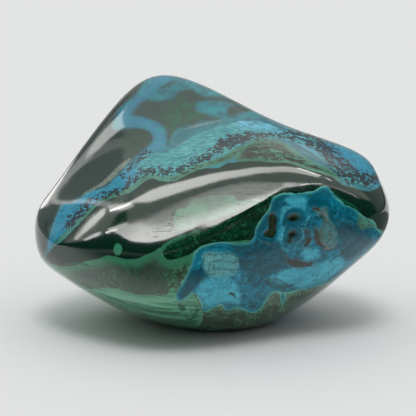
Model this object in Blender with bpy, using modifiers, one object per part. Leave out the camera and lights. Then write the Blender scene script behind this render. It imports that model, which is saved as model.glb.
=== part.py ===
"""A polished freeform stone of chrysocolla and malachite: one piece that rests on a small worn flat.

The stone is a soft form. Twelve lines run along it from the left tip to the right tip and cross six
stations, which makes a coarse cage. Every number in the table is a place on the finished surface, and the
cage is grown until its smooth surface runs within a few tenths of a millimetre of them all. Two crests run
along the front: the face between them leans back, and everything under the lower one turns in. Frame: +X to
the stone's right, +Y to its back, +Z up, with the origin on the ground under the middle of its box.
"""

import bmesh
import bpy
from mathutils import Matrix, Vector

MM = 0.001
NAME = "polished_stone"
COLLECTION = "chrysocolla stone"
SMOOTH_LEVELS = 3
FITTING_ROUNDS = 4
STONE_COLOUR = (0.045, 0.2, 0.19, 1.0)
STONE_ROUGHNESS = 0.16

# Where the lines cross: x of each station, then (y, z) of each line there, all in mm.
STATIONS = (-26.5, -18, -9, 2.5, 13.5, 25)
LINES = {
    "sole": ((1, 7.8), (1, 3), (1, -0.4), (1, -1.4), (1.5, 1.3), (2, 10.4)),
    "foot": ((-3, 9), (-6.5, 4.8), (-8, 2.2), (-7, 0.2), (-5.2, 3.6), (-3, 11.6)),
    "keel": ((-7, 10.6), (-13, 8.4), (-16.5, 7.2), (-15.7, 8.8), (-10.7, 9), (-6.6, 14)),
    "belly": ((-9, 13.2), (-16, 13.2), (-19.5, 12.8), (-17.7, 15.8), (-13.2, 18), (-9.3, 17.8)),
    "brow": ((-9.2, 15.4), (-16, 17.2), (-19.5, 17.6), (-17.7, 21.6), (-13.9, 25.4), (-9.8, 21)),
    "lower_crest": ((-8.7, 17.2), (-15.5, 19.2), (-19, 19.6), (-17.2, 23.8), (-13.5, 27.4), (-9, 23.4)),
    "upper_crest": ((-7, 19.1), (-12, 22.8), (-13, 26.2), (-12.4, 29.4), (-11, 29.8), (-7.4, 25.5)),
    "top_front": ((-3.8, 22), (-5, 27.2), (-5, 31.2), (-6, 33.1), (-6.5, 31.9), (-4, 27.3)),
    "top_back": ((1, 24.6), (3.5, 32.2), (5, 37), (3.2, 36.5), (0.8, 32.8), (1.5, 29.1)),
    "rim": ((5.5, 25.3), (10.5, 36.3), (13.5, 41.8), (10.5, 37.9), (7.8, 33.1), (6.5, 29)),
    "back": ((9.5, 18), (17.5, 22.5), (20.5, 25), (19.2, 24), (17, 20.5), (12, 20)),
    "heel": ((6.5, 9), (11.5, 6), (13.5, 3.5), (14, 3), (13.2, 5.4), (8.5, 12)),
}
# Each tip is closed by a grid of three quads by three: the end's ring all round, and four points of its own.
TIP_GRID = (
    ("keel", "foot", "sole", "heel"),
    ("belly", "low front", "low back", "back"),
    ("brow", "high front", "high back", "rim"),
    ("lower_crest", "upper_crest", "top_front", "top_back"),
)
TIP_POINTS = ("low front", "low back", "high front", "high back")
LEFT_TIP = ((-30.6, -3, 13.2), (-30.4, 3, 13.2), (-30.7, -2.5, 18.8), (-30.2, 3, 21.2))
RIGHT_TIP = ((29.6, -3.5, 17), (28.9, 3.5, 17), (30.2, -3.5, 21.4), (29.6, 3, 24.4))


def clear_scene():
    for obj in list(bpy.data.objects):
        bpy.data.objects.remove(obj)


def surface_points():
    """The named places in metres: one ring for each station, then the points that close the tips."""
    rings = [(x, *line[i]) for i, x in enumerate(STATIONS) for line in LINES.values()]
    return [Vector(p) * MM for p in (*rings, *LEFT_TIP, *RIGHT_TIP)]


def tip_quads(ring_start, tip_start):
    """The grid at one tip, over the ring and the tip's own points that start at these places."""
    ring = {name: ring_start + i for i, name in enumerate(LINES)}
    tip = {name: tip_start + i for i, name in enumerate(TIP_POINTS)}
    grid = [[(ring | tip)[name] for name in row] for row in TIP_GRID]
    return [
        (low[i], low[i + 1], high[i + 1], high[i])
        for low, high in zip(grid, grid[1:])
        for i in range(len(low) - 1)
    ]


def cage_quads():
    """Quads between neighbouring rings, closed by a grid at each tip."""
    n = len(LINES)
    last_ring = (len(STATIONS) - 1) * n
    left_tip = last_ring + n
    between = [
        (start + i, start + (i + 1) % n, start + n + (i + 1) % n, start + n + i)
        for start in range(0, last_ring, n)
        for i in range(n)
    ]
    return between + tip_quads(0, left_tip) + tip_quads(last_ring, left_tip + len(TIP_POINTS))


def smooth_limit(vert):
    """Where subdivision carries a cage vertex: its own place weighed against its neighbours'."""
    near = [edge.other_vert(vert) for edge in vert.link_edges]
    beside = {vert, *near}
    across = [v for face in vert.link_faces for v in face.verts if v not in beside]
    n = len(near)
    beside_sum, across_sum = (sum((v.co for v in verts), Vector()) for verts in (near, across))
    return (n * n * vert.co + 4 * beside_sum + across_sum) / (n * (n + 5))


def fitted_cage():
    """A coarse cage, grown until its smooth surface passes through the named places."""
    places = surface_points()
    cage = bmesh.new()
    verts = [cage.verts.new(p) for p in places]
    for quad in cage_quads():
        cage.faces.new([verts[k] for k in quad])
    bmesh.ops.recalc_face_normals(cage, faces=cage.faces)
    for _ in range(FITTING_ROUNDS):
        gaps = [place - smooth_limit(v) for place, v in zip(places, verts)]
        for v, gap in zip(verts, gaps):
            v.co += gap
    mesh = bpy.data.meshes.new(NAME)
    cage.to_mesh(mesh)
    cage.free()
    return mesh


def smooth_form():
    """The cage's finished surface, as a mesh of its own."""
    cage = bpy.data.objects.new("cage", fitted_cage())
    bpy.context.scene.collection.objects.link(cage)
    smooth = cage.modifiers.new("polish", "SUBSURF")
    smooth.levels = smooth.render_levels = SMOOTH_LEVELS
    mesh = bpy.data.meshes.new_from_object(cage.evaluated_get(bpy.context.evaluated_depsgraph_get()))
    bpy.data.objects.remove(cage)
    return mesh


def grind_resting_flat(mesh):
    """Everything under the ground is worn back to it, which leaves the flat that the stone rests on."""
    for vert in mesh.vertices:
        vert.co.z = max(vert.co.z, 0.0)


def centre_on_box(mesh):
    """Carries the middle of the stone's box over the origin."""
    xs, ys = ([vert.co[axis] for vert in mesh.vertices] for axis in (0, 1))
    mesh.transform(Matrix.Translation((-(min(xs) + max(xs)) / 2, -(min(ys) + max(ys)) / 2, 0.0)))


def stone_material():
    material = bpy.data.materials.new("polished stone")
    material.use_nodes = True
    shader = material.node_tree.nodes["Principled BSDF"]
    shader.inputs["Base Color"].default_value = STONE_COLOUR
    shader.inputs["Roughness"].default_value = STONE_ROUGHNESS
    shader.inputs["Metallic"].default_value = 0.0
    return material


def make_stone(collection):
    mesh = smooth_form()
    mesh.name = NAME
    grind_resting_flat(mesh)
    centre_on_box(mesh)
    mesh.shade_smooth()
    mesh.materials.append(stone_material())
    collection.objects.link(bpy.data.objects.new(NAME, mesh))


def main():
    clear_scene()
    collection = bpy.data.collections.new(COLLECTION)
    bpy.context.scene.collection.children.link(collection)
    make_stone(collection)


main()
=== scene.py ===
"""The polished chrysocolla and malachite stone, finished for pictures, and the studio round it.

Its pattern is drawn on three sheets laid against the stone: a front sheet, as the camera sees the
stone, in steps of a 416-wide square with y downwards; a back sheet and an underside sheet, in
millimetres. A shape is an area, given by corners (x, y), a ribbon, given by points (x, y, half
width), or a spot (x, y, half width, half height, turn in degrees). Each kind of mineral has a field
on the stone's vertices: how far, in millimetres, a point lies inside (above zero) or outside (below
zero) the shapes drawn for it.
"""

import math

import bmesh
import bpy
import numpy as np
from bpy.props import FloatProperty, FloatVectorProperty, IntProperty, PointerProperty
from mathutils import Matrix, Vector


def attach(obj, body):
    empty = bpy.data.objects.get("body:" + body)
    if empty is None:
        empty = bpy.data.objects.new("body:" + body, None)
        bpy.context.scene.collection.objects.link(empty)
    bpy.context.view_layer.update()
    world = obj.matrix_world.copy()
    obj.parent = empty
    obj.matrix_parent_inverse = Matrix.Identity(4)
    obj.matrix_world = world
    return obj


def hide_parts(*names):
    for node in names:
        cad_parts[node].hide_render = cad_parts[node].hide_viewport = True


bl_info = {
    "name": "Polished chrysocolla stone",
    "version": (1, 0, 0),
    "blender": (4, 5, 0),
    "location": "3D View > Sidebar > Stone",
    "description": "Makes the skin of a polished chrysocolla and malachite stone, and its studio",
    "category": "Object",
}

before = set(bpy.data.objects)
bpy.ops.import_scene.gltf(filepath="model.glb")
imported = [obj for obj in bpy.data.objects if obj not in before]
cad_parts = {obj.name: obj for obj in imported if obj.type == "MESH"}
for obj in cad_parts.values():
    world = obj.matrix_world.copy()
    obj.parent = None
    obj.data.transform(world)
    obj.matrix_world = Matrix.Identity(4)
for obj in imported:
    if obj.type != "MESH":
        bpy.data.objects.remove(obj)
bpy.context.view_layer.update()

NODE = "polished_stone"
BODY = "root"
PIECE = "polished_stone_skin"
MM = 0.001
NEVER = -30.0  # millimetres outside every shape
FACING_EDGE = (-0.08, 0.1)  # how squarely a point faces the camera where the front sheet starts
DOWNWARD_EDGE = (0.35, 0.8)  # how far down a point faces where the underside sheet starts

# Camera: it looks along +Y, down at the stone.
AIM = (-0.6 * MM, 0.0, 20.5 * MM)
SHEET = 416
SENSOR = 36.0
NEAREST_SEEN = 0.01

# ------------------------------------------------ front sheet, steps of 416 wide

CROWN = (
    (40, 262), (46, 256), (52, 249), (62.5, 240.5), (73.4, 229.6), (84, 218.8), (95, 208),
    (108, 199.5), (122, 195), (133, 190.5), (144, 182), (152, 178.5), (161, 181.5), (171, 181.5),
    (181, 178), (197, 170), (218, 167.5), (229, 163), (251, 161), (270, 162), (289, 163.5),
    (308, 169.7), (321, 173.5), (333, 177.5), (340, 183.5), (353, 187.6), (369, 191.4), (378, 188),
    (384, 182), (396, 170), (380, 120), (300, 60), (150, 50), (60, 90), (20, 180), (20, 262),
)
DISH = (
    (152, 70), (149, 78), (143, 84), (137, 93.5), (129, 101), (121, 109), (116, 117), (112, 125),
    (116, 130), (125, 128), (135, 127), (146, 128.5), (152, 133), (154, 140), (150, 147),
    (143, 153), (135, 158), (128, 164), (121, 173), (114, 182), (104, 189), (88, 198), (74, 204),
    (66, 211), (60, 223), (55, 236), (48, 250), (40, 262), (20, 262), (20, 150), (100, 60),
)
MOSS = ((124, 130), (140, 130), (151, 136), (149, 147), (138, 157), (128, 163), (122, 150))
MOSS_TOP = (
    (166, 103), (176, 98), (188, 100), (198, 104), (208, 113), (222, 119), (205, 122), (190, 126),
    (176, 131), (171, 143), (166, 142), (166, 128), (160, 118),
)
HOOK = (
    (168, 76, 3), (158, 82, 4), (148, 91, 3.5), (138, 100, 3), (130, 108, 4), (124, 116, 6),
    (127, 121, 5), (138, 122, 4), (149, 125, 4), (157, 131, 4.5), (160, 139, 5), (157, 146, 5),
    (150, 151, 4), (142, 157, 3.5),
)
OLIVE_WEDGE = (
    (129, 110), (132, 104), (138, 101), (147, 99), (156, 100.5), (164, 100), (172, 97.5),
    (177, 92.5), (183, 89.5), (191, 89), (198, 93), (206, 96.5), (217, 96.3), (230, 98.8),
    (243, 104), (255, 109.7), (250, 111), (240, 106.5), (228, 103), (215, 101), (205, 101.5),
    (198, 103), (196, 107), (199, 111.5), (208, 114.5), (221, 119), (213, 121.5), (204, 122),
    (191, 126), (180, 128.5), (175, 131), (172, 136), (170, 142), (168.5, 146.5), (166, 143),
    (166.5, 134), (165, 129), (160, 124.5), (152, 121), (144, 118.5), (135, 116.5), (130, 114.5),
)
OLIVE_ISLAND = (
    (227, 115.5), (227, 110), (230, 106.5), (237, 103.5), (247, 106.5), (254, 110), (246, 112),
    (238, 114), (232, 117),
)
OLIVE_LEAF = ((157, 88.5), (164, 85), (172, 82), (178, 80.8), (175, 83.5), (168, 87), (160, 89.5))
LOBE = (
    (172, 142), (172.5, 137.5), (175, 133.5), (180, 130), (190, 126.5), (203, 123.5), (217, 120.5),
    (226, 118.5), (217, 123), (206, 127.5), (197, 132), (190, 137.5), (184, 142.5), (177, 145),
)
# A thin light line along the lobe's lower edge: a painted highlight, in the cream colour.
LOBE_HIGHLIGHT_LINE = (
    (187, 139.5, 0.4), (184.5, 142, 0.9), (180, 144, 0.8), (175.5, 145, 0.6), (172.2, 142.8, 0.6),
    (171.8, 139.2, 0.6), (173.3, 136, 0.5), (177, 133, 0.3),
)
CREAM_TAIL = (
    (184, 129.5, 0.6), (192, 127, 1.3), (202, 124.5, 1.5), (213, 122, 1.3), (222, 120, 0.6),
)
# A light streak along the lower edge of the grey dish: partly cream stone, partly a painted
# highlight.
CREAM_AND_HIGHLIGHT_STREAK = (
    (84, 193.5, 0.6), (91, 190, 1.2), (99, 186, 1.9), (106, 181.5, 2.6), (112, 176, 3),
    (118, 169.5, 3), (124, 164, 2.4), (130, 159, 1.6),
)
BAND = (
    (46, 253), (49.5, 236), (54, 221), (58, 211), (62, 204), (66, 203), (71, 203), (78.6, 198.5),
    (87.6, 192.5), (96.5, 188.8), (105.4, 186), (112, 180.5), (118, 175), (126, 167), (135, 160),
    (146, 154.5), (158, 152.5), (168, 151.5), (177, 146.5), (190, 138.5), (206, 130.5), (221, 125),
    (240, 121), (258, 121), (275, 126), (290, 133), (310, 138), (330, 143), (352, 150), (372, 162),
    (386, 182), (384, 190), (374, 190), (356, 185), (343, 180), (335, 171), (325, 162), (312, 153),
    (300, 146), (286, 141), (262, 139), (247, 141.5), (236, 150), (222, 158), (205, 164),
    (188, 171), (176, 175.5), (165, 177.5), (150, 175), (140, 178), (131, 186), (118, 191.5),
    (103, 198), (90, 207), (78, 217.5), (67, 229), (57, 240), (50, 250),
)
BAND_LIP = (
    (50, 238, 0.4), (55, 221, 0.6), (59.5, 209, 0.8), (63.5, 204, 0.9), (71, 203, 0.7),
    (80, 197.8, 0.6), (90, 191.5, 0.5), (98, 188.5, 0.3),
)
BLUE_LEFT = (
    (40, 262), (46, 238), (54, 213), (63, 202), (75, 199), (100, 187), (122, 168), (133, 162),
    (134, 178), (110, 197), (80, 217), (60, 240),
)
BLUE_RIGHT = ((325, 138), (350, 146), (376, 160), (390, 182), (380, 190), (350, 168), (325, 152))
SKY_TOP = (
    (236, 118), (250, 117), (264, 119), (280, 125), (296, 131), (310, 135), (304, 141), (290, 135),
    (276, 131), (258, 129), (240, 127),
)
SKY_WEDGE = ((294, 142), (306, 145), (316, 151), (324, 159), (317, 160.5), (305, 152.5), (295, 147))
SAGE_LINE = (
    (52, 247, 1), (62.5, 237.5, 1.2), (73.4, 227, 1.2), (84, 216.5, 1.2), (96, 205.5, 1.3),
    (108, 197.5, 1.5), (122, 193, 2), (132, 188, 2.2), (143, 180.5, 2.5), (152, 176.5, 2.2),
    (161, 179, 2.5), (171, 179, 3), (181, 175.5, 3), (197, 167.5, 3), (212, 162.5, 3),
    (226, 158, 3.5), (240, 150, 4),
)
SAGE_LENS = (
    (236, 160), (243, 148), (252, 141.5), (262, 139.5), (276.5, 140), (287, 145), (299, 153.5),
    (313, 161.5), (328, 168.5), (336, 175), (341, 183), (333, 178), (321, 174), (308, 170),
    (289, 164.5), (270, 163), (251, 162),
)
SPECK_TRAIL = (
    (66, 227, 3), (74, 218, 4.5), (84, 208.5, 4), (96, 199, 2.5), (108, 193.5, 2.5), (122, 190, 3),
    (132, 181, 4), (141, 173.5, 4), (153, 170.5, 3.5), (165, 172, 3.5), (178, 170, 3.5),
    (190, 165, 4), (203, 157.5, 4.5), (214, 151, 5), (226, 143, 6), (240, 138.5, 5.5),
    (255, 136, 3.5), (276, 135.5, 2.2), (292, 138, 2.4), (308, 141, 3.4), (320, 147, 6),
    (334, 158, 8), (344, 169, 9), (354, 177, 8.5), (368, 180, 6.5), (376, 178, 4),
)
SPECK_TOP = ((284, 132, 1.5), (300, 134, 2.5), (315, 138, 2), (326, 143, 1.5))
SPECK_DISH = ((122, 176, 1.5), (130, 168, 1.5), (138, 160, 2), (147, 152, 2.5))
PALE_PATCH = (
    (173.9, 216.2), (177, 209.9), (186.7, 206.7), (193, 198.7), (205.8, 196.3), (221.7, 193.9),
    (234.5, 196.3), (237.7, 200.3), (252, 198.7), (260, 200.3), (252, 205.9), (236, 211.5),
    (218.6, 217.8), (202.6, 223.4), (181.9, 231.4), (175.5, 227.4),
)
SCUFF_LEFT = (
    (168, 212), (182, 207), (186, 212), (180, 224), (172, 232), (158, 236), (150, 233), (160, 222),
)
SCUFF_RIGHT = (
    (205, 196), (225, 188), (245, 184), (262, 182), (276, 184), (286, 188), (274, 194), (258, 200),
    (240, 204), (215, 206),
)
GREEN_SPOT = (117.8, 249.5, 4.2, 6, 0)
SPOT_VEIN = ((120.2, 197.2, 0.2), (121.2, 200, 0.4), (122, 203, 0.25))
VELVET = (
    (160, 248), (168.8, 240.5), (181.8, 235), (200, 228.5), (229.7, 219.4), (248.9, 209.9),
    (264.8, 198.7), (272.8, 192.3), (276, 196), (271, 202), (268.8, 211.5), (261.6, 219.4),
    (253.6, 230.6), (248.9, 240.2), (239.3, 243.3), (226.5, 242), (213.8, 241.7), (204.2, 245),
    (197.8, 248), (186.7, 256), (176, 259), (166, 259.3), (158, 258),
)
LIP = (
    (161, 259, 1.5), (160.5, 251, 2.2), (166, 244.5, 2.4), (173, 240, 1.8), (184, 235.5, 1.2),
    (196, 231, 0.8),
)
LOWER = (
    (38, 262), (50, 263), (62, 266.5), (75, 265), (83, 262.3), (90.7, 260), (99.4, 258.9),
    (105.9, 255.6), (116.7, 256.7), (124.3, 258.9), (136.2, 258.9), (143.8, 255.6), (154.7, 251.3),
    (161, 248), (167, 259.5), (187, 256), (198, 248), (204, 245), (228, 242), (250, 240),
    (280, 240), (330, 240), (396, 236), (396, 345), (100, 345), (20, 300),
)
BANDED = (
    (40, 262), (56, 270), (73, 281), (88, 288), (93.6, 288.3), (112.5, 288), (129.3, 291.9),
    (138, 294.4), (151.6, 295.2), (166, 294.8), (169.5, 289), (174.5, 287), (176.5, 296),
    (179, 303), (185, 300), (191, 295.5), (196, 297), (200, 305), (203, 312), (203, 320),
    (200, 328), (197, 333), (150, 336), (100, 330), (30, 290),
)
LINE_ONE = (
    (106, 297.2, 0.3), (118, 300.4, 0.45), (129.3, 304.7, 0.6), (140.4, 308.6, 0.6),
    (151.6, 310.9, 0.55), (162.8, 312.4, 0.6), (180, 313, 0.5),
)
LINE_TWO = ((129, 302, 0.2), (140.4, 306.2, 0.35), (151.6, 308.1, 0.35), (171, 309.8, 0.2))
LINE_THREE = (
    (138, 312.3, 0.3), (151.6, 316.6, 0.6), (162.8, 319.2, 0.65), (174, 320.9, 0.6),
    (187, 322.4, 0.5),
)
LINE_FOUR = ((200, 307.6, 0.6), (196.5, 313, 0.7), (193, 319, 0.6), (191.6, 322, 0.3))
LINE_FOOT = ((140, 318, 1.4), (152, 323, 1.8), (168, 327.8, 2), (185, 331, 2.2), (205, 331.5, 1.6))
LINE_STROKE = ((64, 265.2, 0.4), (70, 263.8, 0.9), (78, 263.2, 0.9), (86, 265, 0.8), (91, 267, 0.3))
TICK_ONE = ((75.5, 268.5, 0.35), (76.5, 273, 0.4), (77, 278, 0.2))
TICK_TWO = ((82, 269, 0.25), (82.6, 274, 0.35), (83, 280, 0.2))
TICK_THREE = ((91, 271, 0.25), (91.4, 275, 0.3), (91.5, 279.5, 0.2))
KNOT = ((178, 304), (182, 304.5), (185, 308), (184, 311), (180, 309.5))
KNOT_LOOP = (
    (184.5, 305, 0.2), (189, 302.5, 0.35), (194, 304.5, 0.4), (196.5, 309.5, 0.45), (194, 316, 0.5),
    (190, 319.5, 0.45), (186, 317, 0.4), (183.8, 311, 0.3),
)
KNOT_EYE = ((188.5, 309, 0.2), (191.5, 311, 0.4), (190, 314, 0.35), (187.6, 312.5, 0.25))
KNOT_RING = (189.2, 312, 3.4, 3, 0)
PALE_STRIPE = (
    (80, 286.5, 1.3), (93, 291, 1.6), (108, 292.5, 2), (122, 296, 2.2), (138, 299.5, 2.2),
    (155, 300.5, 2.4), (172, 300.5, 2.2), (176, 296, 1),
)
PALE_LOWER = (
    (128, 308, 0.4), (145, 312.4, 1), (160, 315.6, 1.2), (176, 317.2, 1.3), (186, 318, 0.8),
)
DUSK = (
    (143, 262), (156, 259), (168, 258.5), (170, 266), (166, 278), (168, 291), (160, 295),
    (146, 293), (138, 286), (141, 274),
)
DUSK_LEFT = ((40, 256), (52, 259), (66, 263), (80, 263), (88, 268), (98, 272), (84, 278), (60, 270))
PATCH = (
    (270, 203), (273, 198), (279, 194.5), (285.5, 192.7), (296, 193.3), (306.5, 192), (313, 191),
    (318, 188.5), (323.5, 186), (328.3, 186.6), (331.3, 190.3), (335.6, 195.7), (340, 200),
    (346, 204.6), (353.5, 208), (360, 212.5), (364, 216.5), (371, 219.5), (376, 223.5), (378, 229),
    (384, 236), (376, 247), (354, 268), (338, 279), (327, 284), (309.4, 288.8), (300, 290.6),
    (292.7, 292.8), (286, 293.6), (279.5, 292.6), (273.6, 293), (269.5, 296.4), (267, 300.5),
    (263.7, 306), (259.6, 310.5), (254.6, 313), (249.6, 313), (244.6, 310.5), (240.5, 309),
    (234.7, 309), (231.4, 310.5), (228, 311.3), (223.9, 309), (221.4, 305.5), (216.4, 307),
    (211.5, 309.7), (206.5, 312), (202.3, 310.5), (200.7, 304), (198.2, 299), (195.7, 294.7),
    (192.4, 294), (187.4, 298), (182.4, 301.4), (177.5, 301.4), (175, 296.4), (177.5, 290),
    (182.4, 282), (187.4, 273), (190.7, 265), (192.4, 258), (194, 254), (198.2, 249),
    (203.2, 245.8), (211.5, 243.3), (219.8, 241.7), (229.7, 242.5), (238.8, 243.3), (249.6, 241.7),
    (253.5, 236), (255, 229), (257, 226), (261, 218.7), (263.5, 215), (267.5, 211.5),
    (269.5, 207.5),
)
CORNER = (
    (353, 208), (358, 212), (363, 216), (371, 219.3), (376, 223.5), (377.8, 228.5), (372, 227.8),
    (366.5, 228.3), (362, 230), (358.5, 227), (357, 222), (358.5, 216),
)
OUTER_RIM = (
    (333.5, 191.5, 0.5), (338, 197.2, 0.9), (344, 201.2, 1.1), (352, 205, 0.9), (358, 209.5, 0.4),
)
DRIP = ((282, 293, 1.5), (282.8, 297, 3.3), (282.9, 300.5, 2), (282.6, 304, 0.9), (282.3, 311, 0.8))
FOOT_LINE = ((197, 328.6, 0.3), (205, 329.4, 0.7), (216, 329.6, 0.8), (227, 328.8, 0.4))
LIGHT_LEFT = (
    (194.6, 292), (197.4, 286.4), (200, 280.6), (207, 276.6), (216.4, 275.4), (228, 277.3),
    (234.7, 282), (238.8, 288.4), (240.6, 296), (239, 305), (226, 303), (218, 304), (206, 309),
    (201, 304),
)
LIGHT_RIGHT = (
    (268, 278), (285, 270), (305, 267), (325, 262), (340, 256), (346, 262), (335, 274), (318, 284),
    (300, 288), (290, 284), (278, 284),
)
LIGHT_TOP = (
    (285, 203), (287, 197), (294, 195.5), (303, 196), (307, 199), (306, 204), (300, 207.5),
    (292, 206),
)
LIGHT_LASH = (
    (280, 214), (281, 207.5), (286, 206), (292, 207.5), (290, 211), (286, 214), (283, 220),
    (280.5, 226), (279.5, 218),
)
LIGHT_CHEEK = ((279, 228), (282, 224), (285, 227), (284, 234), (280, 241), (277, 239), (279, 233))
LIGHT_KNOT = (
    (301.5, 252), (306, 247.5), (312, 249), (318, 250), (319, 254), (316, 258), (311, 261),
    (306, 260), (303, 257),
)
DEEP_RING = (
    (302.5, 217, 2), (300.5, 222.5, 2.2), (295, 225, 2), (289.5, 223.5, 1.8), (286.5, 218.5, 1.6),
    (288, 212.5, 2), (294, 209.8, 2.2), (300, 211.8, 2), (302.5, 217, 2),
)
DEEP_TOP = (
    (306.5, 205), (309, 198), (316, 193), (323, 191), (329, 194), (331, 201), (328, 207),
    (318, 208), (311, 208),
)
DEEP_LEFT = (
    (258, 231), (261, 222), (265, 215.5), (268.5, 214), (269, 221), (266, 228), (262, 233),
    (258.5, 235),
)
DEEP_WEDGE = ((281, 205), (283.5, 200.8), (287, 203), (289.5, 206), (286, 205.5))
DEEP_FOLD = ((330, 204, 0.9), (330.5, 213, 1), (333, 221, 1.1), (337, 227, 0.8))
DEEP_CURL = ((338, 211, 0.8), (345, 214, 1.3), (353, 219, 1.2), (359, 224, 0.7))
CRACKLE = (
    (203, 256), (212, 252), (226, 252), (238, 256), (240, 266), (234, 276), (220, 277), (206, 274),
)
SLATE_HEART = (
    (232, 243), (250, 243), (268, 240), (283, 246), (288, 258), (283, 270), (268, 275), (252, 276),
    (240, 270), (236, 258),
)
SLATE_FOOT = (
    (180, 297), (186, 281), (192, 272), (202, 270), (206, 276), (200, 286), (192, 292), (184, 301),
)
SLATE_LOBE = (299.5, 239, 7.5, 7.5, 0)
SLATE_RIGHT = ((336, 225), (350, 222), (372, 236), (362, 252), (345, 262), (340, 246))
RUST_VEIN = (
    (315.6, 229.5, 0.9), (316.2, 234, 1.8), (317, 239, 2), (319, 243.5, 2), (323.5, 247, 1.2),
)
RUST_KNOT = ((313, 209.7, 0.5), (318, 209.2, 0.7), (321.5, 212, 0.6))
RUST_SPARK = ((326.5, 250.6, 0.6), (330, 250.2, 0.6), (334, 248.5, 0.5))
RUST_CRESCENT = (
    (287, 257.8, 0.8), (290, 261.5, 1.6), (295, 263.3, 2.3), (301, 264.4, 2.2), (307, 264.8, 1.8),
    (311, 263.6, 0.7),
)
RUST_STEM = ((292, 237, 1.2), (290.2, 240.5, 1.1), (288.8, 244.5, 0.5))
RUST_CURL = (
    (304, 230.2, 0.6), (306.8, 232.5, 0.8), (308.6, 236.5, 0.9), (308.4, 241.2, 1.3),
    (305.3, 245.6, 0.8),
)
ROUGH = (
    (313.5, 210.5), (320, 207.5), (327, 207), (328.5, 214), (331, 221), (335.4, 227), (336.4, 236),
    (335.6, 246), (331, 250.6), (326, 249.6), (320.6, 245), (317.6, 236), (319.4, 227),
    (322, 219.5), (316, 215),
)
ROUGH_STREAK = (
    (312.6, 210, 0.8), (319, 210.5, 1.2), (324, 213, 1.9), (326.5, 217, 1.2), (325, 221, 1),
)
ROUGH_FOOT = ((320, 241, 0.9), (323.5, 244.5, 1.7), (327, 248.5, 1.5), (332, 249, 0.8))
EYE_ONE = (293.5, 218, 5.4, 3.8, -14)
EYE_TWO = (
    (268.8, 214.6), (272, 213.2), (275.5, 214.2), (277.6, 221), (277.2, 230), (275, 236.6),
    (271.2, 238.6), (265.6, 236.8), (263.6, 233.6), (267.8, 228.6), (268, 221),
)
EYE_THREE = (
    (290, 231.5), (293.5, 231), (296.3, 233.2), (296, 236), (293, 237.2), (290.8, 237),
    (289.6, 240.5), (288.6, 243.5), (287.9, 240), (288.6, 235.5),
)
PIT_ONE = ((229, 294.2, 0.9), (231.5, 293.6, 1.5), (234.5, 295.5, 1.2), (235.3, 298.8, 0.7))
PIT_TWO = (252, 306.6, 2.6, 1.2, -8)
PIT_DASH = (249.6, 281.4, 1.8, 0.8, 0)
PIT_WEDGE = ((262.3, 243, 1), (266, 245.2, 0.8), (271, 247.5, 0.5))
PIT_TOP = ((308.5, 196, 0.9), (311, 195.2, 1.2), (313, 194.2, 0.6))
PIT_ROUGH = ((320, 216, 0.6), (322.5, 217.6, 0.9), (325, 221, 0.6))
PIT_CURVE = ((338, 249.3, 0.4), (341.5, 250.2, 0.7), (343, 254.5, 0.5))
LEAF_TIP = (291.5, 285.6, 2.6, 1.2, -25)
LEAF = (
    (266, 279.5), (270, 278), (278, 279), (285, 283), (290, 286.3), (284, 288), (277, 287),
    (270, 286.8), (267, 283.5),
)
TILE_LEFT = ((204.3, 255.4), (213.4, 256.2), (213, 266), (214.5, 273.2), (205, 273.8))
TILE_MIDDLE = ((214, 255.6), (221, 254.6), (222.6, 262), (220.4, 268.4), (214.4, 265.6))
TILE_RIGHT = ((229, 262.5), (234.2, 258.2), (236, 266), (238.6, 274), (229.6, 270.6))
TILE_FAR = ((313, 268.5), (320, 265.4), (318.6, 274), (313.4, 282))
LIGHT_FOOT = ((204, 311, 0.6), (201, 317.5, 1.6), (198, 324, 1.7), (195, 329.5, 0.9))

# ------------------------------------------------ back sheet, millimetres (-x, z)

BACK_CROWN = (
    (-36, 22), (-30, 20), (-24, 19), (-17, 22), (-10, 25), (-4, 23), (3, 26), (9, 30), (15, 26),
    (21, 19), (26, 16), (36, 13), (36, 50), (-36, 50),
)
BACK_BAND = (
    (-36, 24), (-29, 22), (-24, 21), (-17, 24), (-10, 27), (-4, 25.5), (3, 28.5), (9, 32.5),
    (15, 28.5), (22, 21), (27, 18), (36, 15), (36, 20), (27, 25), (21, 31), (14, 37), (8, 40),
    (1, 36), (-6, 33), (-13, 31), (-20, 28), (-28, 27), (-36, 28),
)
BACK_SPECKS = (
    (-32, 23, 0.8), (-24, 22, 1.2), (-17, 25, 1), (-10, 28, 0.9), (-4, 27, 0.7), (3, 29.5, 1.1),
    (9, 33, 0.8), (15, 29.5, 1.1), (22, 22.5, 0.9), (29, 18, 0.8),
)
BACK_SAGE = (
    (-34, 22, 0.6), (-24, 20, 0.7), (-17, 23, 0.6), (-10, 26, 0.5), (-4, 24.2, 0.7), (3, 27, 0.6),
    (9, 31, 0.7), (15, 27, 0.6), (21, 20, 0.6), (27, 17, 0.6),
)
BACK_OLIVE = ((-4, 35), (2, 33), (7, 34), (9, 37), (6, 40), (1, 39))
BACK_PATCH = (
    (-23, 12), (-21, 16), (-17, 18), (-12, 17.5), (-9, 20), (-4, 19.5), (-1, 16), (1, 12), (-1, 9),
    (-4, 9.5), (-7, 6), (-11, 5.5), (-14, 7.5), (-18, 6), (-22, 8),
)
BACK_LIGHT = ((-19, 13), (-15, 15.5), (-11, 15), (-9, 12), (-12, 9.5), (-17, 10))
BACK_SLATE = ((-7, 17), (-3, 16), (-2, 12.5), (-5, 11), (-8, 13))
BACK_EYE = (-5.2, 14.6, 0.8, 0.6, 10)
BACK_EYE_SMALL = (-13.4, 12.2, 0.5, 0.7, 0)
BACK_RUST = ((-10, 17, 0.25), (-8.6, 15.2, 0.35), (-8.2, 13, 0.3), (-9, 11.4, 0.2))
BACK_VELVET = ((1, 13), (4, 19), (9, 23), (14, 21), (17, 16), (13, 15), (8, 16), (4, 14))
BACK_LIP = ((1, 13.2, 0.3), (2.2, 16.5, 0.4), (5, 20.3, 0.4), (9.5, 22.6, 0.3))
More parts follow.
